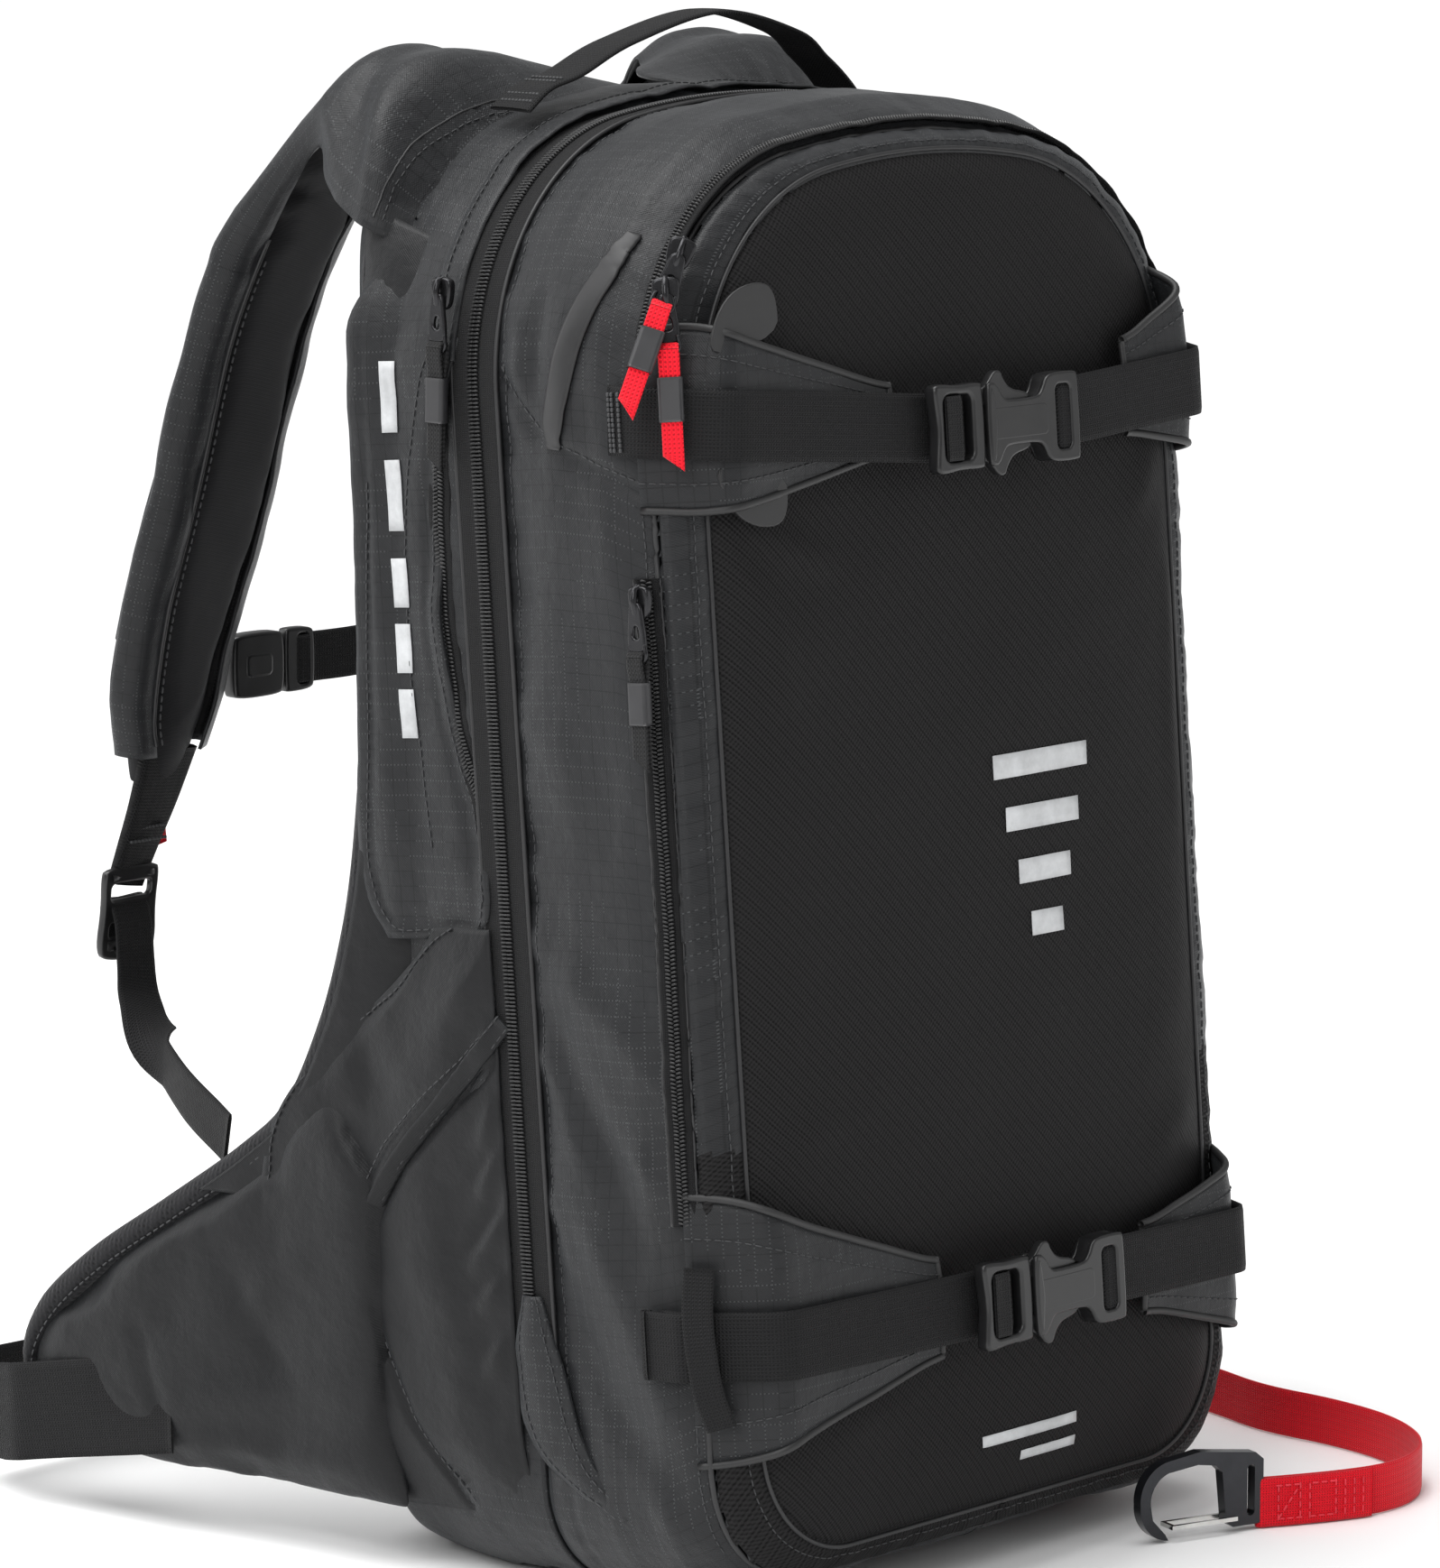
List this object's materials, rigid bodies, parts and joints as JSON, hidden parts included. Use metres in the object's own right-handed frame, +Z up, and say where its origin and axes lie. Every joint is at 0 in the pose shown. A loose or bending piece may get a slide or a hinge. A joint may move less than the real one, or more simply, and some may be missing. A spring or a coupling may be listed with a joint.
{
  "type": "avalanche airbag backpack",
  "caption": "Ski-touring backpack with an airbag compartment, a zip-on front bag, ski straps with buckles, padded harness, hip belt and a leg strap with a wire-gate hook.",
  "frame": {"origin": "middle of the flat base, on the surface that the pack stands on, 27 mm behind the foot of the split zip", "axes": "+Z up the pack, -Y out of the front panel, +Y towards the wearer, +X to the right seen from the front"},
  "size_m": [0.4281, 0.4419, 0.574],
  "materials": {
    "ripstop": "charcoal ripstop nylon",
    "ballistic": "black ballistic nylon",
    "back_foam": "foam under knitted mesh",
    "black_webbing": "ribbed nylon webbing",
    "red_webbing": "ribbed nylon webbing",
    "zip_tape": "coil zip on woven tape",
    "red_pull": "woven cord with heat-shrink sleeve",
    "black_pull": "woven cord with heat-shrink sleeve",
    "buckle_plastic": "satin acetal",
    "anodised": "black anodised",
    "steel_wire": "bright stainless wire",
    "alloy": "plain aluminium bar",
    "sheet_plastic": "moulded plastic",
    "airbag_fabric": "coated nylon",
    "motor_metal": "sleeved metal",
    "board": "lacquered board",
    "button": "satin"
  },
  "bodies": {
    "harness": {"adjuster_webbing_left": "black_webbing", "adjuster_webbing_right": "black_webbing", "air_duct": "sheet_plastic", "airbag_compartment": "ripstop", "airbag_zip": "zip_tape", "back_panel": "back_foam", "battery_holder": "sheet_plastic", "control_board": "board", "control_housing": "sheet_plastic", "fan_housing": "sheet_plastic", "fan_motor": "motor_metal", "folded_airbag": "airbag_fabric", "frame_sheet": "sheet_plastic", "frame_stays": "alloy", "haul_loop": "black_webbing", "hip_buckle_female": "buckle_plastic", "hip_buckle_male": "buckle_plastic", "hip_webbing_left": "black_webbing", "hip_webbing_right": "black_webbing", "hip_wing_left": "ripstop", "hip_wing_right": "ripstop", "ladderlock_left": "buckle_plastic", "ladderlock_right": "buckle_plastic", "leg_hook": "anodised", "leg_strap": "red_webbing", "shoulder_strap_left": "ripstop", "shoulder_strap_right": "ripstop", "side_flap_left": "ripstop", "side_flap_right": "ripstop", "split_zip_rear": "zip_tape", "sternum_buckle_female": "buckle_plastic", "sternum_buckle_male": "buckle_plastic", "sternum_strap": "black_webbing", "supercapacitors": "motor_metal", "trigger_sleeve": "ripstop"},
    "booster": {"booster_shell": "ripstop", "front_panel": "ballistic", "split_zip_front": "zip_tape", "pocket_zip": "zip_tape", "side_zip": "zip_tape", "ski_buckle_lower_female": "buckle_plastic", "ski_buckle_lower_male": "buckle_plastic", "ski_buckle_upper_female": "buckle_plastic", "ski_buckle_upper_male": "buckle_plastic", "ski_strap_lower_left": "black_webbing", "ski_strap_lower_right": "black_webbing", "ski_strap_upper_left": "black_webbing", "ski_strap_upper_right": "black_webbing", "ski_wing_lower_left": "ripstop", "ski_wing_lower_right": "ripstop", "ski_wing_upper_left": "ripstop", "ski_wing_upper_right": "ripstop"},
    "fan_rotor": {"fan_impeller": "sheet_plastic"},
    "button": {"power_button": "button"},
    "trigger": {"trigger_handle": "red_pull"},
    "gate": {"hook_gate": "steel_wire"},
    "side_slider": {"side_zip_pull": "black_pull"},
    "upper_pull": {"pocket_zip_pull_upper": "red_pull"},
    "lower_pull": {"pocket_zip_pull_lower": "red_pull"},
    "airbag_pull": {"airbag_zip_pull": "black_pull"}
  },
  "joints": [
    {"name": "booster_tilt", "type": "hinge", "parent": "harness", "child": "booster", "pos_m": [0, -0.02709, 0], "axis": [1, 0, 0], "range_deg": [0, 12]},
    {"name": "fan_spin", "type": "hinge", "parent": "harness", "child": "fan_rotor", "pos_m": [0.048, 0.036, 0.2], "axis": [0, -1, 0], "continuous": true},
    {"name": "power_press", "type": "slide", "parent": "harness", "child": "button", "axis": [0, 0, -1], "range_m": [0, 0.0015], "stiffness_N_per_m": 600},
    {"name": "trigger_pull", "type": "slide", "parent": "harness", "child": "trigger", "axis": [-0.0423, 0.3013, -0.9526], "range_m": [0, 0.025]},
    {"name": "gate_open", "type": "hinge", "parent": "harness", "child": "gate", "pos_m": [0.09965, -0.14694, 0.0055], "axis": [0.312, 0.9501, 0], "range_deg": [0, 24], "stiffness_Nm_per_rad": 0.02},
    {"name": "side_slider", "type": "slide", "parent": "booster", "child": "side_slider", "axis": [0, -0.0802, -0.9968], "range_m": [0, 0.185]},
    {"name": "upper_pull_swing", "type": "hinge", "parent": "booster", "child": "upper_pull", "pos_m": [-0.14686, -0.08942, 0.49677], "axis": [0.766, 0.6407, -0.0516], "range_deg": [0, 35]},
    {"name": "lower_pull_swing", "type": "hinge", "parent": "booster", "child": "lower_pull", "pos_m": [-0.14677, -0.08475, 0.48235], "axis": [-0.766, -0.6407, 0.0516], "range_deg": [0, 35]},
    {"name": "airbag_pull_swing", "type": "hinge", "parent": "harness", "child": "airbag_pull", "pos_m": [-0.1545, 0.02657, 0.46737], "axis": [1, 0, 0], "range_deg": [-30, 30]}
  ]
}
